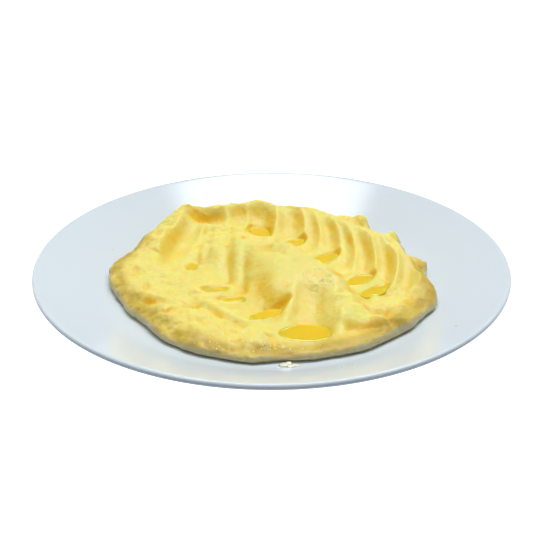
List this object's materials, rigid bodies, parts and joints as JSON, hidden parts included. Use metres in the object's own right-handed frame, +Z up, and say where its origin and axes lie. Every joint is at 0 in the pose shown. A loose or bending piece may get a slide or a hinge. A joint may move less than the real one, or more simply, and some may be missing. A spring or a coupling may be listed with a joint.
{
  "type": "plated mashed potato side",
  "caption": "Round mass of buttered mashed potato, pressed with a spoon into two rows of scoops that hold melted butter, on a plain round white dinner plate.",
  "frame": {"origin": "centre of the plate's foot ring, on the surface that the plate stands on", "axes": "+Z up along the plate's axis; -Y towards the diner, where the largest pool of butter lies; +X to the diner's right"},
  "size_m": [0.27, 0.27, 0.0291],
  "materials": {
    "glazed_stoneware": "smooth white glaze, glossy",
    "mashed_potato": "moist, fine-grained, buttered",
    "melted_butter": "liquid, glossy"
  },
  "bodies": {
    "root": {"plate": "glazed_stoneware", "mash": "mashed_potato", "butter_pool_1": "melted_butter", "butter_pool_2": "melted_butter", "butter_pool_3": "melted_butter", "butter_pool_4": "melted_butter", "butter_pool_5": "melted_butter", "butter_pool_6": "melted_butter", "butter_pool_7": "melted_butter", "butter_pool_8": "melted_butter", "butter_pool_9": "melted_butter", "butter_pool_10": "melted_butter"}
  },
  "joints": []
}
